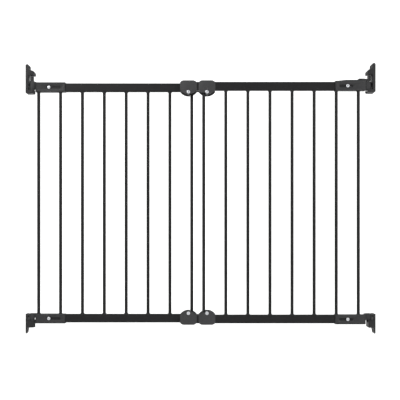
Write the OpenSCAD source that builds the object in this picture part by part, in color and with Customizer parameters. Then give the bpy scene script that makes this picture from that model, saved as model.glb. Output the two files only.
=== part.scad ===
// Safety baby gate: two barred panels that overlap, four clamp couplers, two hinge
// fittings on the left wall and two lock fittings on the right wall.
// X runs across the doorway, Y through it, Z up. The origin is at the middle of the base.

/* [Opening] */
// Distance from one wall face to the other
wall_gap = 1048; // [1046:1:1050]
// Distance from a wall face to the axis of the hinge or lock barrel
barrel_to_wall = 17; // [16.8:0.1:17.2]

/* [Panels] */
// Bars in each panel
bar_count = 8; // [8:1:8]
// Diameter of a bar
bar_d = 9.5; // [9:0.1:9.6]
// Distance between the middles of two bars
bar_pitch = 66.2; // [66:0.1:66.4]
// Height of a rail
rail_h = 26; // [25.5:0.1:26]
// Depth of a rail
rail_d = 12; // [11.8:0.1:12]
// Wall of the rail tube
rail_wall = 1.2; // [1:0.1:1.5]
// Height of the middle of the bottom rail
rail_low_z = 44; // [44:1:44]
// Height of the middle of the top rail
rail_high_z = 741; // [741:1:741]
// Gap between the two panels' rails
rail_gap = 4; // [4:0.1:4]
// Left end of the rear panel's rails
rear_rail_x0 = -494.5; // [-494.5:0.1:-494.4]
// Right end of the rear panel's rails
rear_rail_x1 = 37; // [34:1:40]
// Left end of the front panel's rails
front_rail_x0 = -54; // [-56:1:-50]
// Right end of the front panel's rails
front_rail_x1 = 489; // [486:1:489]
// First bar of the rear panel
rear_bar_x = -489.5; // [-489.5:0.1:-489.4]
// First bar of the front panel
front_bar_x = 10; // [9.9:0.1:10.1]

/* [Couplers] */
// Width of a coupler
coupler_w = 50; // [49:1:50]
// Thickness of a coupler shell's face
shell_t = 2.2; // [2.2:0.1:2.4]
// Distance from a coupler's screw to the bar beside it
screw_to_bar = 9.8; // [9.7:0.1:9.9]
// Distance from the middle of the rail to the coupler's screw
screw_drop = 18; // [18:0.1:18.2]

/* [End fittings] */
// Length of a hinge fitting's sleeve, from the barrel axis
hinge_sleeve = 99; // [97:1:100]
// Length of a lock fitting's sleeve, from the barrel axis
lock_sleeve = 104; // [102:1:105]
// Radius of the hinge and lock barrels
barrel_r = 8; // [7.9:0.1:8]
// Radius of the hinge pins
pin_r = 4; // [3.8:0.1:4]
// Height of the barrels above the cup rims with the gate free to swing
barrel_lift = 0.3; // [0.3:0.1:0.5]

/* [Wall brackets] */
// Thickness of an upper bracket's back plate
high_plate_t = 8; // [7.5:0.1:8.2]
// Thickness of a lower bracket's back plate
low_plate_t = 6; // [5:0.1:6.5]
// Half the width of a hinge bracket
hinge_half_w = 9.5; // [9.4:0.1:9.5]
// Half the width of a lock bracket
lock_half_w = 12.5; // [12.4:0.1:12.6]
// Height of the rims of the lower cups
low_rim_z = 40; // [40:1:40]
// Height of the rims of the upper cups
high_rim_z = 728.5; // [728:0.5:729]
// How much higher the upper lock bracket sits than the upper hinge bracket
lock_raise = 3; // [2:0.5:3.5]
// Underside of the upper brackets' hoods
hood_z = 775; // [774:1:777]
// How far the gate can rise before its barrels meet the hoods
rise = 3; // [2:1:4]
// Top of the upper brackets
bracket_top_z = 807.5; // [806:0.5:809]

/* [Hidden] */
$fn = 48;
play = 0.05;
slack = 0.3;
bar_r = bar_d / 2;
axis_x = wall_gap / 2 - barrel_to_wall;
rail_y = (rail_gap + rail_d) / 2;
rail_round = 3;
inner_half = rail_y + rail_d / 2 + slack;
outer_half = inner_half + shell_t;
bar_in_rail = 3;
rim_z = [low_rim_z, high_rim_z];
raise = [0, lock_raise];
rail_z = [rail_low_z, rail_high_z];
cup_floor = [low_rim_z - 6.5, high_rim_z - 6.2];
cup_base = [low_rim_z - 22, high_rim_z - 8];
neck_top = hood_z - rise - 0.2;
sleeve_above = rail_h / 2 + 2.5;
sleeve_below = rail_h / 2 + 0.5;
sleeve_round = 2.6;
left_coupler_x = rear_bar_x + (bar_count - 1) * bar_pitch - screw_to_bar;
right_coupler_x = front_bar_x + screw_to_bar;
screw_r = 2.4;
hole_play = 0.1;
head_t = 1.5;
wall_hole_z = [[9, 51], [746, 799]];
plate_hole_t = [[low_plate_t, low_plate_t], [high_plate_t, 10]];
adjust_x = [-457, 440];
slot_ends = [[-467, -420], [413, 458]];
slot_r = 5.5;
spring_r = 1.25;
spring_wire = 0.35;
spring_x = [440.4, 474.2];
spring_z = 756.1;
slider_y = -8;
hump_z = 759.3;
slide_travel = 12;
foot_x = [474.5, 482];
pocket_x = [spring_x[0] - 0.4, foot_x[1] + 0.6];

BARS = [for (i = [1:bar_count]) i];

// ---- shared shapes ----

// A rectangle with round corners, w along X and h along Y
module round_rect(w, h, r) {
    square([w - 2 * r, h], center = true);
    square([w, h - 2 * r], center = true);
    for (sx = [-1, 1], sy = [-1, 1])
        translate([sx * (w / 2 - r), sy * (h / 2 - r)]) circle(r);
}

// A prism along X from x0 to x1; the child's X and Y become Y and Z
module along_x(x0, x1) {
    translate([x0, 0, 0]) rotate([90, 0, 90]) linear_extrude(x1 - x0) children();
}

// A prism along Y from y0 to y1; the child's X and Y become X and Z
module along_y(y0, y1) {
    translate([0, y1, 0]) rotate([90, 0, 0]) linear_extrude(y1 - y0) children();
}

// A round bar or hole along Y at (x, z)
module rod_y(x, z, r, y0, y1, sides = 48) {
    translate([x, y1, z]) rotate([90, 0, 0]) cylinder(r = r, h = y1 - y0, $fn = sides);
}

// A round bar or hole along Z at (x, y)
module rod_z(x, y, r, z0, z1) {
    translate([x, y, z0]) cylinder(r = r, h = z1 - z0);
}

// A block between two corners
module block(a, b) {
    translate(a) cube(b - a);
}

// A slot with round ends along X, cut along Y
module slot_y(x0, x1, z, r, y0, y1) {
    rod_y(x0 + r, z, r, y0, y1);
    rod_y(x1 - r, z, r, y0, y1);
    block([x0 + r, y0, z - r], [x1 - r, y1, z + r]);
}

// The child as it is for the top rail, or upside down for the bottom rail
module at_rail(top) {
    translate([0, 0, top ? rail_high_z : rail_low_z]) mirror([0, 0, top ? 0 : 1]) children();
}

// ---- panels ----

// One rail: a tube with a hole for each bar and a hole for the adjusting screw
module rail(x0, x1, y, top, first_bar, screw_x) {
    color([0.15, 0.15, 0.16])
    translate([0, y, 0]) at_rail(top) difference() {
        along_x(x0, x1) round_rect(rail_d, rail_h, rail_round);
        along_x(x0 - 1, x1 + 1)
            round_rect(rail_d - 2 * rail_wall, rail_h - 2 * rail_wall, rail_round - rail_wall);
        for (i = [0:bar_count - 1])
            rod_z(first_bar + i * bar_pitch, 0, bar_r + play,
                  -rail_h / 2 - 1, -rail_h / 2 + bar_in_rail + play);
        rod_y(screw_x, 0, screw_r + 2 * hole_play, -rail_d / 2 - 1, 0);
    }
}

module rear_rail(top) {
    rail(rear_rail_x0, rear_rail_x1, rail_y, top, rear_bar_x, adjust_x[0]);
}

module front_rail(top) {
    rail(front_rail_x0, front_rail_x1, -rail_y, top, front_bar_x, adjust_x[1]);
}

// One upright bar, which enters both rails
module bar(first, y, number) {
    color([0.13, 0.13, 0.14])
    rod_z(first + (number - 1) * bar_pitch, y, bar_r,
          rail_low_z + rail_h / 2 - bar_in_rail, rail_high_z - rail_h / 2 + bar_in_rail);
}

// The plugs that close the free ends of a panel's two rails
module rail_plugs(end_x, outward, y) {
    flange_t = 1.5;
    body_l = 12;
    gap = rail_wall + play;
    color([0.1, 0.1, 0.1])
    for (z = rail_z)
        translate([end_x, y, z]) mirror([outward > 0 ? 0 : 1, 0, 0]) {
            along_x(0, flange_t) round_rect(rail_d, rail_h, rail_round);
            along_x(-body_l, 0.1) round_rect(rail_d - 2 * gap, rail_h - 2 * gap, rail_round - gap);
        }
}

// The pads that hold the overlapping rails apart: face on its own rail, side 1 towards -Y
module glide_pads(x, face_y, side) {
    color([0.85, 0.85, 0.82])
    for (z = rail_z)
        translate([x, face_y, z]) mirror([0, side > 0 ? 1 : 0, 0])
            along_y(0, rail_gap - slack) round_rect(18, 18, 4);
}

// ---- couplers ----

// The outline of a coupler seen from the front: flat outside, round towards the bars
module coupler_outline() {
    half = coupler_w / 2;
    top = sleeve_above + 1;
    bulge_r = 31.5;
    bulge = 24.4;
    corner = [[half, top - 6], [half - 3.5, top - 2.2], [half - 9, top]];
    intersection() {
        polygon(concat([[-half, -bulge], [half, -bulge]], corner,
                       [for (i = [2:-1:0]) [-corner[i][0], corner[i][1]]]));
        translate([0, bulge_r - bulge]) circle(bulge_r, $fn = 96);
    }
}

// A rear half shell about the rail's centre line; bar_window cuts its edge for a bar
module coupler_half(bar_window) {
    half = coupler_w / 2;
    flat = 13;
    boss_r = 4.4;
    pad_r = 6;
    rail_edge = rail_h / 2 + slack + 0.1;
    difference() {
        intersection() {
            along_y(play, outer_half) coupler_outline();
            union() {
                translate([0, 0, -40]) linear_extrude(60)
                    polygon([[-half, inner_half], [-half, inner_half + 0.6], [-flat, outer_half],
                             [flat, outer_half], [half, inner_half + 0.6], [half, inner_half]]);
                block([-half, play, rail_edge], [half, inner_half + 0.1, 20]);
                rod_y(0, -screw_drop, boss_r, play, inner_half + 0.1);
                intersection() {
                    rod_y(0, -screw_drop, pad_r, inner_half - 1.2, inner_half + 0.1);
                    block([-20, 0, -40], [20, 20, -rail_edge]);
                }
            }
        }
        rod_y(0, -screw_drop, screw_r + hole_play, -1, 20);
        if (bar_window)
            block([screw_to_bar - bar_r - 0.6, inner_half - 2, -40],
                  [screw_to_bar + bar_r + 0.6, 20, -screw_drop - 2.4]);
    }
}

// A shell on one side of a coupler; side 1 is the rear and -1 the front
module coupler_shell(x, top, side, bar_window) {
    color([0.26, 0.26, 0.27])
    translate([x, 0, 0]) at_rail(top) rotate([0, 0, side > 0 ? 0 : 180])
        difference() {
            coupler_half(bar_window);
            if (side > 0)
                rod_y(0, -screw_drop, 4.75, inner_half - 0.3, 20, 6);
            else
                rod_y(0, -screw_drop, 5.7, outer_half - head_t, 20);
        }
}

// A pan head screw along Y whose head fills a seat at head_y and whose end is at end_y
module screw_y(x, z, head_y, end_y, head_r) {
    cross_w = 1;
    cross_l = 5;
    cross_t = 0.9;
    color([0.75, 0.76, 0.78])
    difference() {
        union() {
            rod_y(x, z, head_r, head_y, head_y + head_t);
            rod_y(x, z, screw_r, head_y + head_t - 0.1, end_y);
        }
        for (half = [[cross_l / 2, cross_w / 2], [cross_w / 2, cross_l / 2]])
            block([x - half[0], head_y - 1, z - half[1]], [x + half[0], head_y + cross_t, z + half[1]]);
    }
}

module coupler_screws(x) {
    for (top = [0, 1])
        screw_y(x, rail_z[top] + (top ? -1 : 1) * screw_drop, -outer_half, outer_half - 0.3, 5);
}

module coupler_nuts(x) {
    color([0.7, 0.71, 0.73])
    for (top = [0, 1])
        let (z = rail_z[top] + (top ? -1 : 1) * screw_drop)
            difference() {
                rod_y(x, z, 4.6, inner_half - 0.3, outer_half - 0.1, 6);
                rod_y(x, z, screw_r + play, 0, 20);
            }
}

// ---- end fittings ----

// A recess along X with round ends and sloping walls, r wide at its mouth and foot_r at its floor
module sloped_slot(x0, x1, z, r, foot_r, y0, y1) {
    reach = r * (y1 - y0 + 1) / (y1 - y0) - foot_r / (y1 - y0);
    for (x = [x0 + r, x1 - r])
        translate([x, y1, z]) rotate([90, 0, 0]) cylinder(r1 = foot_r, r2 = reach, h = y1 - y0 + 1);
    along_x(x0 + r, x1 - r)
        polygon([[y1, z - foot_r], [y1, z + foot_r], [y0 - 1, z + reach], [y0 - 1, z - reach]]);
}

// A sleeve round a rail's end, open along its bar side, with an adjusting slot in front.
// rail gives the stretch of X that the rail and its way in take.
module sleeve(x, y, top, rail_mid_y, rail, slot) {
    z = rail_z[top];
    inner = top ? -1 : 1;
    foot_gap = 1.6;
    difference() {
        translate([0, (y[0] + y[1]) / 2, z - inner * (sleeve_above - sleeve_below) / 2])
            along_x(x[0], x[1])
                round_rect(y[1] - y[0], sleeve_above + sleeve_below, sleeve_round);
        translate([0, rail_mid_y, z]) along_x(rail[0], rail[1]) {
            round_rect(rail_d + 2 * play, rail_h + 2 * play, rail_round);
            translate([0, inner * sleeve_above])
                square([rail_d + 2 * play, 2 * rail_round + 5], center = true);
        }
        sloped_slot(slot[0] - 2, slot[1] + 2, z, slot_r + 2, slot_r, y[0], y[0] + head_t);
        slot_y(slot[0] + foot_gap, slot[1] - foot_gap, z, slot_r - foot_gap, y[0], rail_mid_y);
    }
}

// A hinge fitting: a barrel that slides on the pin, an arm over the cup rim and a sleeve
module hinge_fitting(top) {
    barrel_z = rim_z[top] + barrel_lift;
    arm_z = rim_z[top] + 6.8;
    top_z = rail_z[top] + sleeve_above;
    end = hinge_half_w + slack;
    y = [rail_y - rail_d / 2 - 2.5, rail_y + rail_d / 2 + 2];
    color([0.25, 0.25, 0.26])
    difference() {
        union() {
            rod_z(-axis_x, 0, barrel_r, barrel_z, top_z);
            if (top) barrel_neck(-axis_x, top_z);
            translate([-axis_x, 0, arm_z]) linear_extrude(top_z - arm_z)
                polygon([[0, -barrel_r], [barrel_r, -barrel_r], [end + 2.5, y[0] + 1],
                         [end + 2.5, barrel_r], [0, barrel_r]]);
            sleeve([end - axis_x, hinge_sleeve - axis_x], y, top, rail_y,
                   [rear_rail_x0, hinge_sleeve - axis_x + 1], slot_ends[0]);
        }
        rod_z(-axis_x, 0, pin_r + play, barrel_z - 1, hood_z);
    }
}

// The shoulder and neck of a top barrel, which stand under the hood
module barrel_neck(x, z) {
    neck_r = 5.5;
    translate([x, 0, z - 0.1]) cylinder(r1 = barrel_r, r2 = neck_r, h = 3);
    rod_z(x, 0, neck_r, z, neck_top);
}

// A lock fitting: a solid barrel that drops into the cup, an arm and a sleeve
module lock_fitting(top) {
    barrel_z = rim_z[top] + barrel_lift + raise[top];
    top_z = rail_z[top] + sleeve_above;
    end_x = axis_x - 14;
    y0 = -outer_half;
    color([0.22, 0.22, 0.23])
    difference() {
        union() {
            rod_z(axis_x, 0, barrel_r, barrel_z, top_z);
            translate([axis_x, 0, barrel_z]) linear_extrude(top_z - barrel_z)
                polygon([[0, barrel_r], [-7, barrel_r], [-14, 1], [-16, 0], [-16, -14], [-14, -14],
                         [-9, -barrel_r], [0, -barrel_r]]);
            sleeve([axis_x - lock_sleeve, end_x], [y0, 0], top, -rail_y,
                   [axis_x - lock_sleeve - 1, front_rail_x1], slot_ends[1]);
            if (top) slider_hump(top_z);
        }
        if (top) slider_ways();
    }
}

// The hump on the top lock fitting that the slider runs on
module slider_hump(base_z) {
    along_y(slider_y - 6.5, slider_y + 6.5)
        polygon([[axis_x - lock_sleeve + 3, base_z - 0.5], [436, hump_z],
                 [492, hump_z], [492, base_z - 0.5]]);
}

// The spring's pocket in the hump and the slot over it for the slider's foot
module slider_ways() {
    block([pocket_x[0], slider_y - 2, hump_z - 4.9], [pocket_x[1], slider_y + 2, hump_z - 1.5]);
    block([foot_x[0] - slide_travel - 0.6, slider_y - 1.2, hump_z - 2],
          [pocket_x[1], slider_y + 1.2, hump_z + 1]);
}

module adjusting_screws(x, wall_y, end_y) {
    for (z = rail_z) screw_y(x, z, wall_y, end_y, 4.8);
}

// Square nuts behind the rails' front walls
module adjusting_nuts(x, y) {
    color([0.7, 0.71, 0.73])
    for (z = rail_z)
        difference() {
            translate([x, y, z]) along_y(0, 4) round_rect(9, 9, 0.8);
            rod_y(x, z, screw_r + play, y - 1, y + 5);
        }
}

// The slide catch: a thumb cap, a foot in the pocket and a nose that stands under the hood
module lock_slider() {
    cap_z = hump_z + slack;
    cap_x = [472, 503];
    nose_x = [504, 511.5];
    color([0.3, 0.3, 0.31]) {
        along_y(slider_y - 7.5, slider_y + 7.5)
            polygon([[cap_x[0], cap_z], [cap_x[0], cap_z + 2.3], [cap_x[0] + 2, cap_z + 3.2],
                     [488, cap_z + 3.2], [cap_x[1], cap_z + 1.6], [cap_x[1], cap_z]]);
        for (i = [0:3])
            rod_y(477 + 3 * i, cap_z + 3, 0.8, slider_y - 6, slider_y + 6);
        block([cap_x[1] - 4, -6, cap_z], [nose_x[1], 6, cap_z + 1.6]);
        block([nose_x[0], -6, cap_z], [nose_x[1], 6, neck_top + lock_raise]);
        block([foot_x[0], slider_y - 1, hump_z - 3], [foot_x[1], slider_y + 1, cap_z + 0.1]);
        block([foot_x[0], slider_y - 1.8, hump_z - 4.7], [foot_x[1], slider_y + 1.8, hump_z - 1.8]);
    }
}

// The slider's return spring: a wire swept along a helix
module slider_spring() {
    turns = 12;
    rings = turns * 10;
    sides = 6;
    length = spring_x[1] - spring_x[0] - 2 * spring_wire;
    points = [for (i = [0:rings], k = [0:sides - 1])
        let (a = 360 * turns * i / rings, b = 360 * k / sides, r = spring_r + spring_wire * cos(b))
        [spring_x[0] + spring_wire + length * i / rings + spring_wire * sin(b),
         slider_y + r * cos(a), spring_z + r * sin(a)]];
    walls = [for (i = [0:rings - 1], k = [0:sides - 1])
        let (n = (k + 1) % sides)
        [i * sides + k, i * sides + n, (i + 1) * sides + n, (i + 1) * sides + k]];
    ends = [[for (k = [sides - 1:-1:0]) k], [for (k = [0:sides - 1]) rings * sides + k]];
    color([0.6, 0.6, 0.62]) polyhedron(points, concat(walls, ends));
}

// ---- wall brackets and pins ----

// The child in a bracket's own frame: barrel axis at x = 0, wall at -X; side 1 is the right wall
module at_wall(side) {
    translate([side * axis_x, 0, 0]) mirror([side > 0 ? 1 : 0, 0, 0]) children();
}

// The two screw holes through the plate, countersunk from the gate's side
module wall_holes(top) {
    sink = 2.6;
    for (i = [0, 1])
        translate([-barrel_to_wall, 0, wall_hole_z[top][i]]) rotate([0, 90, 0])
            let (t = plate_hole_t[top][i]) {
                translate([0, 0, -1]) cylinder(r = screw_r, h = t + 2);
                translate([0, 0, t - sink]) cylinder(r1 = screw_r, r2 = 5, h = sink);
                translate([0, 0, t - 0.01]) cylinder(r = 5, h = 3);
            }
}

// The side view of the top bracket's plate, tail and hood
module top_bracket_sides(half_w, nose) {
    w = -barrel_to_wall;
    face = w + high_plate_t;
    tail_r = 5;
    along_y(-half_w, half_w) {
        polygon([[w, cup_base[1] + 2], [w + 2, cup_base[1]], [face, cup_base[1]], [face, hood_z + 15],
                 [w + 10.5, hood_z + 16.5], [w + 2 * tail_r, bracket_top_z - tail_r],
                 [w, bracket_top_z - tail_r]]);
        translate([w + tail_r, bracket_top_z - tail_r]) circle(tail_r);
        polygon([[face - 1, hood_z], [nose - 2, hood_z], [nose, hood_z + 2], [nose, hood_z + 9],
                 [nose - 3, hood_z + 12.5], [w + 10.5, hood_z + 16.5], [face - 1, hood_z + 16]]);
    }
}

// The side view of the bottom bracket's plate with its tapered tail
module bottom_bracket_sides(half_w) {
    w = -barrel_to_wall;
    face = w + low_plate_t;
    along_y(-half_w, half_w)
        polygon([[w, 3], [w + 1.5, 0], [w + 3, 0.5], [face, 18], [face, 58], [face - 1, 59], [w, 59]]);
}

// A hinge bracket: its cup holds the pin's foot and takes the barrel when the gate is lowered
module hinge_bracket(top) {
    color([0.24, 0.24, 0.25])
    at_wall(-1) difference() {
        union() {
            if (top) top_bracket_sides(hinge_half_w, 9);
            else bottom_bracket_sides(hinge_half_w);
            rod_z(0, 0, hinge_half_w, cup_base[top], rim_z[top]);
            block([-barrel_to_wall + 2, -hinge_half_w, cup_base[top]], [0, hinge_half_w, rim_z[top]]);
        }
        rod_z(0, 0, barrel_r + 0.5, cup_floor[top], rim_z[top] + 1);
        rod_z(0, 0, pin_r + play, cup_base[top] - 1, cup_floor[top] + 1);
        if (top) rod_z(0, 0, pin_r + play, hood_z - 1, hood_z + 7);
        wall_holes(top);
    }
}

// A lock bracket: its cup is open towards the gate, with a lip at the front and at the back
module lock_bracket(top) {
    mouth = top ? 7 : 4;
    chamfer = top ? 3 : 1;
    pocket = 9.8;
    color([0.22, 0.22, 0.23])
    translate([0, 0, raise[top]]) at_wall(1) difference() {
        union() {
            if (top) top_bracket_sides(lock_half_w, mouth);
            else bottom_bracket_sides(lock_half_w);
            along_y(-lock_half_w, lock_half_w)
                polygon([[-barrel_to_wall + 2, cup_base[top]], [mouth - chamfer, cup_base[top]],
                         [mouth, cup_base[top] + chamfer], [mouth, rim_z[top]],
                         [-barrel_to_wall + 2, rim_z[top]]]);
        }
        block([-barrel_r - 0.5, -pocket, cup_floor[top]], [mouth + 1, pocket, rim_z[top] + 1]);
        wall_holes(top);
    }
}

// A hinge pin, from the cup's floor to the hood or to the top of the lower barrel
module hinge_pin(top) {
    color([0.6, 0.61, 0.63])
    rod_z(-axis_x, 0, pin_r, cup_base[top] + 0.5, top ? hood_z + 6.5 : rail_low_z + sleeve_above - 1);
}

// ---- nodes ----

hinge_bracket(1);  // hinge_bracket_top
hinge_bracket(0);  // hinge_bracket_bottom
lock_bracket(1);  // lock_bracket_top
lock_bracket(0);  // lock_bracket_bottom
hinge_pin(1);  // hinge_pin_top
hinge_pin(0);  // hinge_pin_bottom
rear_rail(1);  // rear_rail_top
rear_rail(0);  // rear_rail_bottom
front_rail(1);  // front_rail_top
front_rail(0);  // front_rail_bottom
rail_plugs(rear_rail_x1, 1, rail_y);  // rear_rail_plugs
rail_plugs(front_rail_x0, -1, -rail_y);  // front_rail_plugs
hinge_fitting(1);  // hinge_fitting_top
hinge_fitting(0);  // hinge_fitting_bottom
lock_fitting(1);  // lock_fitting_top
lock_fitting(0);  // lock_fitting_bottom
adjusting_screws(adjust_x[0], rail_y - rail_d / 2 - 2.5, 9);  // hinge_adjusting_screws
adjusting_nuts(adjust_x[0], rail_y - rail_d / 2 + rail_wall);  // hinge_adjusting_nuts
adjusting_screws(adjust_x[1], -outer_half, -7);  // lock_adjusting_screws
adjusting_nuts(adjust_x[1], -rail_y - rail_d / 2 + rail_wall);  // lock_adjusting_nuts
lock_slider();
slider_spring();
coupler_shell(left_coupler_x, 1, -1, false);  // left_top_front_shell
coupler_shell(left_coupler_x, 1, 1, true);  // left_top_rear_shell
coupler_shell(left_coupler_x, 0, -1, false);  // left_bottom_front_shell
coupler_shell(left_coupler_x, 0, 1, true);  // left_bottom_rear_shell
coupler_shell(right_coupler_x, 1, -1, true);  // right_top_front_shell
coupler_shell(right_coupler_x, 1, 1, false);  // right_top_rear_shell
coupler_shell(right_coupler_x, 0, -1, true);  // right_bottom_front_shell
coupler_shell(right_coupler_x, 0, 1, false);  // right_bottom_rear_shell
coupler_screws(left_coupler_x);  // left_coupler_screws
coupler_nuts(left_coupler_x);  // left_coupler_nuts
coupler_screws(right_coupler_x);  // right_coupler_screws
coupler_nuts(right_coupler_x);  // right_coupler_nuts
glide_pads(28, rail_gap / 2, 1);  // rear_glide_pads
glide_pads(-43, -rail_gap / 2, -1);  // front_glide_pads
for (i = BARS) {
    bar(rear_bar_x, rail_y, i);
    bar(front_bar_x, -rail_y, i);
}
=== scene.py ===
"""The looks of a safety baby gate: its finishes, moulded pieces, welds, screws and studio stage."""

import math

import bpy
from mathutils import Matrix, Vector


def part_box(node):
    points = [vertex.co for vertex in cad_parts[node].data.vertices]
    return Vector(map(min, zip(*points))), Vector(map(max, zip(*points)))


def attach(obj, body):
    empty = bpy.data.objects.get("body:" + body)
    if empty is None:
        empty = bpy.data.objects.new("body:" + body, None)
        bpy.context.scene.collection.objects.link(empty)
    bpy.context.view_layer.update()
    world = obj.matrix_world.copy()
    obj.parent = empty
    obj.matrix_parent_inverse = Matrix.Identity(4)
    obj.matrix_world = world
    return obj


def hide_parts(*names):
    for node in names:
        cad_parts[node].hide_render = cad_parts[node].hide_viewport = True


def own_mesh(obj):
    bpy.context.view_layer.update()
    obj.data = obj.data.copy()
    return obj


bl_info = {
    "name": "Safety Baby Gate",
    "version": (1, 0, 0),
    "blender": (4, 5, 0),
    "location": "View3D > Sidebar > Gate",
    "description": "Finishes and details for a safety baby gate around its fixed frame",
    "category": "Object",
}

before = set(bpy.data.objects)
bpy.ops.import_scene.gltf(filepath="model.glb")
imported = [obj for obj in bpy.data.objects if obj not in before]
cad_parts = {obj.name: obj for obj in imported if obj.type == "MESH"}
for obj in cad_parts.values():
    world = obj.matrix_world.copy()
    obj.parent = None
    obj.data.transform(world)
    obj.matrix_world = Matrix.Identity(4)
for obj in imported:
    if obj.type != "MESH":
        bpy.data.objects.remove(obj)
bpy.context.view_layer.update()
MM = 0.001

ENDS = ("top", "bottom")
PANELS = {"rear": "rear_panel", "front": "front_panel"}
FITTING_BODY = {"hinge": "rear_panel", "lock": "front_panel"}
COUPLER_BODY = {"left": "front_panel", "right": "rear_panel"}
SCREW_BODY = {"hinge_adjusting": "rear_panel", "lock_adjusting": "front_panel",
              "left_coupler": "front_panel", "right_coupler": "rear_panel"}
BARS_PER_PANEL = 8

# The studio's lights: name, place, the point that each one faces, side in metres, power in watts
LIGHTS = (
    ("soft_box", (-1.3, -1.7, 2.1), (0.0, 0.0, 0.45), 1.5, 38),
    ("strip", (1.7, -1.2, 1.0), (0.1, 0.0, 0.45), 0.9, 14),
    ("backdrop_wash", (0.0, 1.2, 2.6), (0.0, 3.6, 0.8), 2.6, 60),
)


# ---- sizes, colours and the stage that a user would change ----


class GateSizes(bpy.types.PropertyGroup):
    """Sizes of the details that the frame leaves to this file."""

    moulding_edge: bpy.props.FloatProperty(
        name="Moulding edge", description="Edge radius of the wall brackets and end fittings",
        default=0.9 * MM, unit="LENGTH", precision=5)
    coupler_edge: bpy.props.FloatProperty(
        name="Coupler edge", description="Edge radius of the coupler shells",
        default=0.7 * MM, unit="LENGTH", precision=5)
    small_edge: bpy.props.FloatProperty(
        name="Small edge", description="Edge radius of the slider, plugs, pads and nuts",
        default=0.35 * MM, unit="LENGTH", precision=5)
    weld_spread: bpy.props.FloatProperty(
        name="Weld spread", description="How far a weld bead spreads along the rail from its bar",
        default=3.0 * MM, unit="LENGTH", precision=5)
    weld_height: bpy.props.FloatProperty(
        name="Weld height", description="How far a weld bead climbs its bar",
        default=3.6 * MM, unit="LENGTH", precision=5)
    head_crown: bpy.props.FloatProperty(
        name="Head crown", description="How far a screw head's crown stands above its rim",
        default=0.7 * MM, unit="LENGTH", precision=5)
    slider_travel: bpy.props.FloatProperty(
        name="Slider travel", description="How far the slide catch presses its spring together",
        default=12 * MM, unit="LENGTH", precision=5)
    spring_wire: bpy.props.FloatProperty(
        name="Spring wire", description="Thickness of the slider spring's wire",
        default=0.7 * MM, unit="LENGTH", precision=5)
    spring_turns: bpy.props.IntProperty(
        name="Spring turns", description="Turns of the slider spring", default=12)


class GateColours(bpy.types.PropertyGroup):
    """Base colours of the gate's finishes."""

    powder_coat: bpy.props.FloatVectorProperty(
        name="Powder coat", description="Satin black of the rails and bars",
        subtype="COLOR", default=(0.007, 0.007, 0.0074))
    # Painted shade: this charcoal is set darker than the fittings' to stand in for the shade on the
    # wall plates.
    bracket: bpy.props.FloatVectorProperty(
        name="Bracket", description="Charcoal of the wall brackets",
        subtype="COLOR", default=(0.011, 0.011, 0.0115))
    fitting: bpy.props.FloatVectorProperty(
        name="Fitting", description="Charcoal of the end fittings",
        subtype="COLOR", default=(0.019, 0.019, 0.0198))
    coupler: bpy.props.FloatVectorProperty(
        name="Coupler", description="Charcoal of the coupler shells",
        subtype="COLOR", default=(0.026, 0.026, 0.027))
    slider: bpy.props.FloatVectorProperty(
        name="Slider", description="Charcoal of the slide catch",
        subtype="COLOR", default=(0.014, 0.014, 0.0146))
    plug: bpy.props.FloatVectorProperty(
        name="Plug", description="Black of the rail end plugs",
        subtype="COLOR", default=(0.01, 0.01, 0.0105))
    nylon: bpy.props.FloatVectorProperty(
        name="Nylon", description="Natural nylon of the glide pads",
        subtype="COLOR", default=(0.68, 0.67, 0.62))
    zinc: bpy.props.FloatVectorProperty(
        name="Zinc", description="Bright zinc of the screws and nuts",
        subtype="COLOR", default=(0.5, 0.51, 0.53))
    steel: bpy.props.FloatVectorProperty(
        name="Steel", description="Steel of the hinge pins and the spring",
        subtype="COLOR", default=(0.16, 0.16, 0.17))


class GateStage(bpy.types.PropertyGroup):
    """The camera and the studio."""

    distance: bpy.props.FloatProperty(
        name="Distance", description="From the camera to the middle of the gate",
        default=1.634, unit="LENGTH")
    height: bpy.props.FloatProperty(
        name="Height", description="Height of the camera above the gate's base",
        default=0.3046, unit="LENGTH")
    aside: bpy.props.FloatProperty(
        name="Aside", description="How far the camera stands to the right of the gate's middle",
        default=-1.2 * MM, unit="LENGTH", precision=5)
    lens: bpy.props.FloatProperty(
        name="Lens", description="Focal length in millimetres", default=48.8)
    sensor: bpy.props.FloatProperty(
        name="Sensor", description="Width of the camera's sensor in millimetres", default=36)
    shift: bpy.props.FloatProperty(
        name="Shift", description="Vertical lens shift", default=0.08)
    floor_drop: bpy.props.FloatProperty(
        name="Floor drop", description="From the lowest bracket down to the floor",
        default=0.05, unit="LENGTH")
    paper: bpy.props.FloatVectorProperty(
        name="Paper", description="Colour of the floor and backdrop",
        subtype="COLOR", default=(0.93, 0.93, 0.93))
    sky: bpy.props.FloatProperty(
        name="Sky", description="Strength of the even studio light", default=0.9)


# ---- shader maths ----

# The mix node's sockets for colours, by number because its other sockets share their names
MIX_FACTOR = 0
MIX_FIRST = 6
MIX_SECOND = 7
MIX_RESULT = 2


class Level:
    """A shader value, so that maths on it reads as arithmetic."""

    def __init__(self, finish, socket):
        self.finish = finish
        self.socket = socket

    def maths(self, operation, a, b):
        return self.finish.node("ShaderNodeMath", {"operation": operation}, {0: a, 1: b})

    def __add__(self, other):
        return self.maths("ADD", self, other)

    def __sub__(self, other):
        return self.maths("SUBTRACT", self, other)

    def __rsub__(self, other):
        return self.maths("SUBTRACT", other, self)

    def __mul__(self, other):
        return self.maths("MULTIPLY", self, other)

    __radd__ = __add__
    __rmul__ = __mul__


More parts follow.
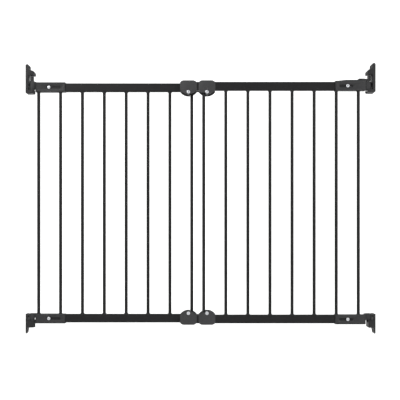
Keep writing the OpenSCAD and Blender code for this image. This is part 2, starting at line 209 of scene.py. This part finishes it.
class Finish:
    """A material and the nodes that make it."""

    def __init__(self, name):
        self.material = bpy.data.materials.new(name)
        self.material.use_nodes = True
        self.nodes = self.material.node_tree.nodes
        self.links = self.material.node_tree.links
        self.shader = self.nodes["Principled BSDF"]
        self.place = self.node("ShaderNodeTexCoord", {}, {}, "Object")

    def node(self, kind, settings, inputs, output=0):
        """Adds one node and returns one of its outputs."""
        made = self.nodes.new(kind)
        for key, value in settings.items():
            setattr(made, key, value)
        for key, value in inputs.items():
            self.put(made.inputs[key], value)
        return Level(self, made.outputs[output])

    def put(self, socket, value):
        """Gives a socket a fixed value or a link."""
        if isinstance(value, Level):
            self.links.new(value.socket, socket)
        else:
            socket.default_value = value

    def noise(self, scale, detail=2.0, stretch=(1, 1, 1), roughness=0.5):
        """Noise on the piece's own metres, stretched along an axis where stretch is below 1."""
        place = self.node("ShaderNodeMapping", {}, {"Vector": self.place, "Scale": stretch})
        return self.node("ShaderNodeTexNoise", {}, {
            "Vector": place, "Scale": scale, "Detail": detail, "Roughness": roughness}, "Fac")

    def ramp(self, level, low, high):
        """0 up to low, 1 from high, smooth between them."""
        return self.node("ShaderNodeMapRange", {"interpolation_type": "SMOOTHSTEP"},
                         {"Value": level, "From Min": low, "From Max": high}, "Result")

    def mix(self, factor, dark, light):
        """A colour between two others."""
        return self.node("ShaderNodeMix", {"data_type": "RGBA"},
                         {MIX_FACTOR: factor, MIX_FIRST: dark, MIX_SECOND: light}, MIX_RESULT)

    def bump(self, level, depth, strength=1.0):
        """A surface relief of the given depth in metres."""
        return self.node("ShaderNodeBump", {}, {
            "Height": level, "Distance": depth, "Strength": strength}, "Normal")

    def surface(self, **values):
        """Sets the shader's sockets; an underscore stands for a space in a name."""
        for key, value in values.items():
            self.put(self.shader.inputs[key.replace("_", " ")], value)
        return self.material


def shade(colour, factor):
    """A colour made lighter or darker, with an alpha of 1."""
    return tuple(min(1.0, part * factor) for part in colour) + (1.0,)


# ---- materials ----


def powder_coat(name, colour):
    """Satin powder coat: orange peel, soft mottling and rub marks along the rails."""
    finish = Finish(name)
    peel = finish.noise(scale=620, detail=2.5)
    mottle = finish.noise(scale=26, detail=3.0)
    dust = finish.ramp(finish.noise(scale=1500, detail=1.0), low=0.68, high=0.8)
    rubs = finish.ramp(finish.noise(scale=260, stretch=(0.05, 1, 1)), low=0.63, high=0.74)
    base = finish.mix(mottle, shade(colour, 0.85), shade(colour, 1.2))
    rubbed = finish.mix(rubs * 0.45 + dust * 0.25, base, shade(colour, 2.1))
    return finish.surface(
        Base_Color=rubbed, Roughness=0.36 + mottle * 0.12 + dust * 0.1 - rubs * 0.06,
        Normal=finish.bump(peel, depth=0.12 * MM, strength=0.55), Specular_IOR_Level=0.16)


def moulded(name, colour, grain=1400, roughness=0.46):
    """Moulded plastic: spark-eroded grain, faint flow marks and scuffs."""
    finish = Finish(name)
    fine = finish.noise(scale=grain, detail=3.0, roughness=0.62)
    flow = finish.noise(scale=34, stretch=(1, 1, 0.35))
    marks = finish.noise(scale=420, detail=3.0, stretch=(0.3, 1, 1))
    scuff = finish.ramp(marks, low=0.66, high=0.8)
    base = finish.mix(flow, shade(colour, 0.84), shade(colour, 1.18))
    worn = finish.mix(scuff * 0.35 + fine * 0.12, base, shade(colour, 1.9))
    return finish.surface(
        Base_Color=worn, Roughness=roughness + fine * 0.1 - scuff * 0.08 + flow * 0.05,
        Normal=finish.bump(fine, depth=0.09 * MM, strength=0.6), Specular_IOR_Level=0.23)


def plated(name, colour, roughness=0.2, stretch=(1, 1, 1)):
    """Plated or ground steel: fine draw lines and a patchy lustre."""
    finish = Finish(name)
    lines = finish.noise(scale=3200, stretch=stretch)
    patch = finish.noise(scale=180, detail=3.0)
    base = finish.mix(patch, shade(colour, 0.86), shade(colour, 1.08))
    return finish.surface(
        Base_Color=base, Metallic=1.0, Roughness=roughness + lines * 0.1 + patch * 0.12,
        Normal=finish.bump(lines, depth=0.02 * MM, strength=0.5))


def waxy(name, colour):
    """Natural nylon: slightly see-through white with fine flow grain."""
    finish = Finish(name)
    cloud = finish.noise(scale=120, detail=3.0)
    fine = finish.noise(scale=1700)
    return finish.surface(
        Base_Color=finish.mix(cloud, shade(colour, 0.9), shade(colour, 1.05)),
        Roughness=0.34 + fine * 0.12, Normal=finish.bump(fine, depth=0.04 * MM, strength=0.4),
        Subsurface_Weight=0.15)


def paper(name, colour):
    """The studio's pale paper, with a very faint tooth."""
    finish = Finish(name)
    tooth = finish.noise(scale=90, detail=4.0)
    return finish.surface(
        Base_Color=finish.mix(tooth, shade(colour, 0.995), shade(colour, 1.005)),
        Roughness=0.9 + tooth * 0.05, Specular_IOR_Level=0.1)


# ---- modelling helpers ----


def alone(piece):
    """Makes one piece the only selected and the active object."""
    bpy.ops.object.select_all(action="DESELECT")
    piece.select_set(True)
    bpy.context.view_layer.objects.active = piece


def named(name):
    """Names the object that an operator has just made or joined."""
    piece = bpy.context.object
    piece.name = name
    piece.data.name = name
    return piece


def settle(piece):
    """Puts a piece's place, turn and scale into its mesh."""
    alone(piece)
    bpy.ops.object.transform_apply(location=True, rotation=True, scale=True)


def modify(piece, kind, **settings):
    """Adds a modifier, sets it and applies it."""
    alone(piece)
    bpy.ops.object.modifier_add(type=kind)
    modifier = piece.modifiers[-1]
    for key, value in settings.items():
        setattr(modifier, key, value)
    bpy.ops.object.modifier_apply(modifier=modifier.name)


def smooth(piece, angle=35):
    """Smooth shading that breaks at edges sharper than the angle."""
    alone(piece)
    bpy.ops.object.shade_smooth_by_angle(angle=math.radians(angle))


def close_mesh(piece):
    """Merges doubles and points the faces outwards."""
    alone(piece)
    bpy.ops.object.mode_set(mode="EDIT")
    bpy.ops.mesh.select_all(action="SELECT")
    bpy.ops.mesh.remove_doubles(threshold=0.001 * MM)
    bpy.ops.mesh.normals_make_consistent(inside=False)
    bpy.ops.object.mode_set(mode="OBJECT")


def softened(node, width, segments=3, angle=38):
    """A copy of a frame node, merged, with its hard edges rounded to a radius."""
    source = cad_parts[node]
    piece = source.copy()
    piece.data = source.data.copy()
    piece.parent = None
    piece.matrix_world.identity()
    piece.name = node + "_moulding"
    piece.data.materials.clear()
    bpy.context.scene.collection.objects.link(piece)
    alone(piece)
    flat_enough = math.radians(0.6)
    bpy.ops.mesh.customdata_custom_splitnormals_clear()
    bpy.ops.object.mode_set(mode="EDIT")
    bpy.ops.mesh.select_all(action="SELECT")
    bpy.ops.mesh.remove_doubles(threshold=0.002 * MM)
    bpy.ops.mesh.dissolve_limited(angle_limit=flat_enough)
    bpy.ops.object.mode_set(mode="OBJECT")
    modify(piece, "BEVEL", width=width, segments=segments, limit_method="ANGLE",
           angle_limit=math.radians(angle), use_clamp_overlap=True, harden_normals=False,
           miter_outer="MITER_ARC")
    smooth(piece, angle)
    return piece


def turned(name, rings, sides=32):
    """A turned piece about Z: rings of (height, radius), the first one its flat foot."""
    height, radius = rings[0]
    bpy.ops.object.select_all(action="DESELECT")
    bpy.ops.mesh.primitive_circle_add(vertices=sides, radius=radius, fill_type="NGON",
                                      location=(0, 0, height))
    piece = named(name)
    settle(piece)
    bpy.ops.object.mode_set(mode="EDIT")
    bpy.ops.mesh.select_all(action="SELECT")
    for next_height, next_radius in rings[1:]:
        bpy.ops.mesh.extrude_region_move(
            TRANSFORM_OT_translate={"value": (0, 0, next_height - height)})
        grow = next_radius / radius
        bpy.ops.transform.resize(value=(grow, grow, 1), center_override=(0, 0, next_height))
        height, radius = next_height, next_radius
    bpy.ops.object.mode_set(mode="OBJECT")
    close_mesh(piece)
    return piece


def copied(piece, name, at, turn=(0, 0, 0), scale=(1, 1, 1)):
    """A copy with its own mesh, placed, turned and scaled."""
    twin = piece.copy()
    twin.data = piece.data.copy()
    twin.name = name
    bpy.context.scene.collection.objects.link(twin)
    twin.location = at
    twin.rotation_euler = turn
    twin.scale = scale
    settle(twin)
    return twin


def joined(pieces, name):
    """Joins pieces into one object."""
    alone(pieces[0])
    for piece in pieces[1:]:
        piece.select_set(True)
    bpy.ops.object.join()
    return named(name)


def drop(piece):
    """Deletes a template or a cutter once it has done its work."""
    alone(piece)
    bpy.ops.object.delete()


def finish_piece(piece, material, body, slot, *nodes):
    """Gives a piece its material, its body and the nodes that it stands for; slot is not used."""
    piece.data.materials.clear()
    piece.data.materials.append(material)
    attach(piece, body)
    if nodes:
        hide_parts(*nodes)


def repaint(node, material):
    """Gives a frame node a better material."""
    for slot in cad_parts[node].material_slots:
        slot.material = material


def middle(node):
    """The middle of a frame node's box."""
    low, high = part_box(node)
    return [(a + b) / 2 for a, b in zip(low, high)]


# ---- the operators ----


class GATE_OT_metalwork(bpy.types.Operator):
    """Coats the rails and bars"""

    bl_idname = "gate.metalwork"
    bl_label = "Rails and bars"

    def execute(self, context):
        coat = powder_coat("powder_coat", context.scene.gate_colours.powder_coat)
        for panel in PANELS:
            for node in [f"{panel}_rail_top", f"{panel}_rail_bottom"] + bar_nodes(panel):
                repaint(node, coat)
        return {"FINISHED"}


def bar_nodes(panel):
    """The names of a panel's bars."""
    return [f"{panel}_bar_{number}" for number in range(1, BARS_PER_PANEL + 1)]


class GATE_OT_welds(bpy.types.Operator):
    """Lays a weld bead round each bar where it meets a rail"""

    bl_idname = "gate.welds"
    bl_label = "Weld beads"

    def execute(self, context):
        sizes = context.scene.gate_sizes
        coat = bpy.data.materials["powder_coat"]
        for panel, body in PANELS.items():
            low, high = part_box(f"{panel}_bar_1")
            radius = (high[0] - low[0]) / 2
            bead = weld_bead(radius, sizes)
            for end in ENDS:
                rail_low, rail_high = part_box(f"{panel}_rail_{end}")
                face = rail_low[2] if end == "top" else rail_high[2]
                turn = (math.pi, 0, 0) if end == "top" else (0, 0, 0)
                beads = []
                for number, bar in enumerate(bar_nodes(panel)):
                    centre = middle(bar)
                    beads.append(copied(bead, f"bead_{number}", (centre[0], centre[1], face), turn))
                    roughen(beads[-1], number)
                piece = joined(beads, f"{panel}_{end}_welds")
                smooth(piece, angle=60)
                finish_piece(piece, coat, body, "powder_coat")
            drop(bead)
        return {"FINISHED"}


def weld_bead(radius, sizes):
    """One fillet of weld, hollow in profile, narrower across the rail than along it.

    Each point of the profile is a share of the height and of the spread.
    """
    sunk = -0.8 * MM
    inside_bar = 0.8 * radius
    across_rail = 0.74
    profile = ((0.15, 0.8), (0.35, 0.38), (0.65, 0.14), (1.0, 0.02))
    rings = [(sunk, radius + sizes.weld_spread)]
    for climb, spread in profile:
        rings.append((climb * sizes.weld_height, radius + spread * sizes.weld_spread))
    rings.append((sizes.weld_height, inside_bar))
    bead = turned("bead", rings, sides=28)
    bead.scale = (1, across_rail, 1)
    settle(bead)
    return bead


def roughen(piece, seed):
    """Small seeded ripples, as a hand-laid weld has."""
    ripple = 0.16 * MM
    alone(piece)
    bpy.ops.object.mode_set(mode="EDIT")
    bpy.ops.mesh.select_all(action="SELECT")
    bpy.ops.transform.vertex_random(offset=ripple, uniform=0.4, normal=0.0, seed=seed)
    bpy.ops.object.mode_set(mode="OBJECT")
    modify(piece, "SUBSURF", levels=1, render_levels=1)


class GATE_OT_brackets(bpy.types.Operator):
    """Moulds the four wall brackets"""

    bl_idname = "gate.brackets"
    bl_label = "Wall brackets"

    def execute(self, context):
        # The bracket plastic's darker colour is painted shade for the wall plates.
        plastic = moulded("bracket_plastic", context.scene.gate_colours.bracket)
        for kind in ("hinge", "lock"):
            for end in ENDS:
                node = f"{kind}_bracket_{end}"
                piece = softened(node, context.scene.gate_sizes.moulding_edge)
                finish_piece(piece, plastic, "wall_brackets", "bracket_plastic", node)
        return {"FINISHED"}


class GATE_OT_fittings(bpy.types.Operator):
    """Moulds the four end fittings"""

    bl_idname = "gate.fittings"
    bl_label = "End fittings"

    def execute(self, context):
        plastic = moulded("fitting_plastic", context.scene.gate_colours.fitting)
        for kind, body in FITTING_BODY.items():
            for end in ENDS:
                node = f"{kind}_fitting_{end}"
                piece = softened(node, context.scene.gate_sizes.moulding_edge)
                finish_piece(piece, plastic, body, "fitting_plastic", node)
        return {"FINISHED"}


class GATE_OT_couplers(bpy.types.Operator):
    """Moulds the eight shells of the clamp couplers"""

    bl_idname = "gate.couplers"
    bl_label = "Clamp couplers"

    def execute(self, context):
        plastic = moulded("coupler_plastic", context.scene.gate_colours.coupler)
        for side, body in COUPLER_BODY.items():
            for end in ENDS:
                for face in ("front", "rear"):
                    node = f"{side}_{end}_{face}_shell"
                    piece = softened(node, context.scene.gate_sizes.coupler_edge)
                    finish_piece(piece, plastic, body, "coupler_plastic", node)
        return {"FINISHED"}


class GATE_OT_small_parts(bpy.types.Operator):
    """Finishes the slide catch, plugs, glide pads, pins and nuts"""

    bl_idname = "gate.small_parts"
    bl_label = "Slider, plugs, pads, pins and nuts"

    def execute(self, context):
        colours = context.scene.gate_colours
        edge = context.scene.gate_sizes.small_edge
        slider = moulded("slider_plastic", colours.slider, grain=1800, roughness=0.4)
        plug = moulded("plug_plastic", colours.plug, grain=1800, roughness=0.5)
        nylon = waxy("glide_nylon", colours.nylon)
        zinc = plated("zinc_steel", colours.zinc, roughness=0.26)
        steel = plated("pin_steel", colours.steel, roughness=0.24, stretch=(1, 1, 0.06))
        finish_piece(softened("lock_slider", edge), slider, "lock_slider", "slider_plastic",
                     "lock_slider")
        for panel, body in PANELS.items():
            node = f"{panel}_rail_plugs"
            finish_piece(softened(node, edge), plug, body, "plug_plastic", node)
            node = f"{panel}_glide_pads"
            finish_piece(softened(node, edge), nylon, body, "glide_nylon", node)
        for end in ENDS:
            node = f"hinge_pin_{end}"
            finish_piece(softened(node, edge), steel, "hinge_pins", "pin_steel", node)
        for group, body in SCREW_BODY.items():
            node = f"{group}_nuts"
            finish_piece(softened(node, edge), zinc, body, "zinc_steel", node)
        return {"FINISHED"}


class GATE_OT_screws(bpy.types.Operator):
    """Turns the crowned, cross-recessed screws and sets them in their seats"""

    bl_idname = "gate.screws"
    bl_label = "Screws"

    def execute(self, context):
        zinc = bpy.data.materials["zinc_steel"]
        crown = context.scene.gate_sizes.head_crown
        for group, body in SCREW_BODY.items():
            node = f"{group}_screws"
            low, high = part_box(node)
            radius = (high[0] - low[0]) / 2
            screw = turned_screw(radius, high[1] - low[1], crown)
            pair = []
            for number, height in enumerate((high[2] - radius, low[2] + radius)):
                twin = copied(screw, f"screw_{number}", (0, 0, 0), (0, 0, tightened(group, number)))
                place_along_y(twin, (middle(node)[0], low[1], height))
                pair.append(twin)
            piece = joined(pair, f"{group}_screws_turned")
            smooth(piece, angle=40)
            drop(screw)
            finish_piece(piece, zinc, body, "zinc_steel", node)
        return {"FINISHED"}


def tightened(group, number):
    """The angle at which a screw came to rest, varied by its number and its group's name."""
    first = 38
    per_screw = 47
    per_letter = 11
    return math.radians(first + per_screw * number + per_letter * len(group))


def place_along_y(piece, at):
    """Turns a piece made about Z so that it points along Y, and moves it to its place."""
    piece.rotation_euler = (-math.pi / 2, 0, 0)
    piece.location = at
    settle(piece)


def turned_screw(radius, length, crown):
    """A screw whose crowned head is at the foot, with a cross recess, and a threaded shank."""
    head = 1.5 * MM
    shank = 2.4 * MM
    core = 2.05 * MM
    pitch = 0.8 * MM
    rim = 0.1 * MM
    lead_in = 0.3 * MM
    recess_depth = 1.3 * MM
    cutter_size = (1.15 * radius, 0.27 * radius, 2 * recess_depth)
    rings = [(-crown, 0.5 * radius), (-0.8 * crown, 0.72 * radius), (-0.35 * crown, 0.92 * radius),
             (rim, radius), (head, radius), (head, shank)]
    for turn in range(int((length - head) / pitch) - 1):
        start = head + (turn + 0.5) * pitch
        rings += [(start, shank), (start + 0.4 * pitch, core)]
    rings += [(length - lead_in, shank), (length, 0.85 * shank)]
    screw = turned("screw", rings, sides=36)
    for turn in (0, math.pi / 2):
        bpy.ops.object.select_all(action="DESELECT")
        bpy.ops.mesh.primitive_cube_add(size=1, location=(0, 0, -crown), rotation=(0, 0, turn))
        cutter = named("recess_cutter")
        cutter.scale = cutter_size
        settle(cutter)
        taper_below(cutter)
        modify(screw, "BOOLEAN", operation="DIFFERENCE", object=cutter, solver="EXACT")
        drop(cutter)
    return screw


def taper_below(cutter):
    """Narrows the deep end of a recess cutter."""
    faces_up = 0.9
    alone(cutter)
    bpy.ops.object.mode_set(mode="EDIT")
    bpy.context.tool_settings.mesh_select_mode = (False, False, True)
    bpy.ops.mesh.select_all(action="DESELECT")
    bpy.ops.object.mode_set(mode="OBJECT")
    for face in cutter.data.polygons:
        face.select = face.normal.z > faces_up
    bpy.ops.object.mode_set(mode="EDIT")
    bpy.ops.transform.resize(value=(0.45, 0.6, 1))
    bpy.ops.object.mode_set(mode="OBJECT")


class GATE_OT_spring(bpy.types.Operator):
    """Winds the slide catch's return spring"""

    bl_idname = "gate.spring"
    bl_label = "Slider spring"

    def execute(self, context):
        sizes = context.scene.gate_sizes
        steps_per_turn = 20
        low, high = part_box("slider_spring")
        wire = sizes.spring_wire
        centre = middle("slider_spring")
        radius = (high[1] - low[1] - wire) / 2
        start, end = low[0] + wire / 2, high[0] - wire / 2
        steps = sizes.spring_turns * steps_per_turn
        curve = bpy.data.curves.new("slider_spring_wire", "CURVE")
        curve.dimensions = "3D"
        curve.bevel_depth = wire / 2
        curve.bevel_resolution = 2
        curve.use_fill_caps = True
        spline = curve.splines.new("POLY")
        spline.points.add(steps)
        for step, point in enumerate(spline.points):
            angle = 2 * math.pi * sizes.spring_turns * step / steps
            point.co = (start + (end - start) * step / steps,
                        centre[1] + radius * math.cos(angle), centre[2] + radius * math.sin(angle), 1)
        piece = bpy.data.objects.new("slider_spring_wire", curve)
        bpy.context.scene.collection.objects.link(piece)
        alone(piece)
        bpy.ops.object.convert(target="MESH")
        piece = bpy.context.object
        close_mesh(piece)
        smooth(piece, angle=50)
        steel = plated("spring_steel", context.scene.gate_colours.steel, roughness=0.28)
        finish_piece(piece, steel, "front_panel", "spring_steel", "slider_spring")
        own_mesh(piece)
        return {"FINISHED"}


class GATE_OT_stage(bpy.types.Operator):
    """Sets the paper, the lights and the camera"""

    bl_idname = "gate.stage"
    bl_label = "Stage"

    def execute(self, context):
        stage = context.scene.gate_stage
        lay_paper(stage)
        light_stage(context.scene, stage)
        aim_camera(context.scene, stage)
        return {"FINISHED"}


def lay_paper(stage):
    """A paper sweep: floor, curve and upright backdrop in one sheet."""
    width = 14
    depth = 8
    height = 6
    bend = 1.5
    near_back = 0.49 * depth
    bpy.ops.object.select_all(action="DESELECT")
    bpy.ops.mesh.primitive_plane_add(size=1, location=(0, 0, -stage.floor_drop))
    sweep = named("paper_sweep")
    sweep.scale = (width, depth, 1)
    settle(sweep)
    bpy.ops.object.mode_set(mode="EDIT")
    bpy.context.tool_settings.mesh_select_mode = (False, True, False)
    bpy.ops.mesh.select_all(action="DESELECT")
    bpy.ops.object.mode_set(mode="OBJECT")
    mesh = sweep.data
    for edge in mesh.edges:
        edge.select = all(mesh.vertices[end].co.y > near_back for end in edge.vertices)
    bpy.ops.object.mode_set(mode="EDIT")
    bpy.ops.mesh.extrude_edges_move(TRANSFORM_OT_translate={"value": (0, 0, height)})
    bpy.ops.object.mode_set(mode="OBJECT")
    modify(sweep, "BEVEL", width=bend, segments=16, limit_method="ANGLE")
    smooth(sweep, angle=60)
    sweep.data.materials.append(paper("studio_paper", stage.paper))


def light_stage(scene, stage):
    """An even white room, a soft box above left, a strip on the right and a backdrop wash."""
    world = bpy.data.worlds.new("studio")
    world.use_nodes = True
    background = world.node_tree.nodes["Background"]
    background.inputs["Color"].default_value = (1, 1, 1, 1)
    background.inputs["Strength"].default_value = stage.sky
    scene.world = world
    for light in LIGHTS:
        add_light(*light)


def add_light(name, at, aim, size, power):
    """A square area light that faces a point."""
    bpy.ops.object.select_all(action="DESELECT")
    bpy.ops.object.light_add(type="AREA", location=at)
    light = named(name)
    light.data.size = size
    light.data.energy = power
    way = [b - a for a, b in zip(at, aim)]
    flat = math.hypot(way[0], way[1])
    light.rotation_euler = (math.atan2(flat, -way[2]), 0, math.atan2(-way[0], way[1]))


def aim_camera(scene, stage):
    """A level camera in front of the gate, with plain display colours."""
    bpy.ops.object.select_all(action="DESELECT")
    bpy.ops.object.camera_add(location=(stage.aside, -stage.distance, stage.height),
                              rotation=(math.pi / 2, 0, 0))
    camera = named("gate_camera")
    camera.data.lens = stage.lens
    camera.data.sensor_width = stage.sensor
    camera.data.shift_y = stage.shift
    scene.camera = camera
    scene.view_settings.view_transform = "Standard"


STEPS = (GATE_OT_metalwork, GATE_OT_welds, GATE_OT_brackets, GATE_OT_fittings, GATE_OT_couplers,
         GATE_OT_small_parts, GATE_OT_screws, GATE_OT_spring, GATE_OT_stage)
SETTINGS = {"gate_sizes": GateSizes, "gate_colours": GateColours, "gate_stage": GateStage}


class GATE_PT_panel(bpy.types.Panel):
    """Lists the gate's operators and settings"""

    bl_idname = "GATE_PT_panel"
    bl_label = "Safety baby gate"
    bl_space_type = "VIEW_3D"
    bl_region_type = "UI"
    bl_category = "Gate"

    def draw(self, context):
        for name, group in SETTINGS.items():
            box = self.layout.box()
            for key in group.__annotations__:
                box.prop(getattr(context.scene, name), key)
        for step in STEPS:
            self.layout.operator(step.bl_idname)


def register():
    for group in SETTINGS.values():
        bpy.utils.register_class(group)
    for name, group in SETTINGS.items():
        setattr(bpy.types.Scene, name, bpy.props.PointerProperty(type=group))
    for step in STEPS:
        bpy.utils.register_class(step)
    bpy.utils.register_class(GATE_PT_panel)


def unregister():
    bpy.utils.unregister_class(GATE_PT_panel)
    for step in reversed(STEPS):
        bpy.utils.unregister_class(step)
    for name, group in SETTINGS.items():
        delattr(bpy.types.Scene, name)
        bpy.utils.unregister_class(group)


def main():
    register()
    bpy.ops.gate.metalwork()
    bpy.ops.gate.welds()
    bpy.ops.gate.brackets()
    bpy.ops.gate.fittings()
    bpy.ops.gate.couplers()
    bpy.ops.gate.small_parts()
    bpy.ops.gate.screws()
    bpy.ops.gate.spring()
    bpy.ops.gate.stage()


if __name__ == "__main__":
    main()
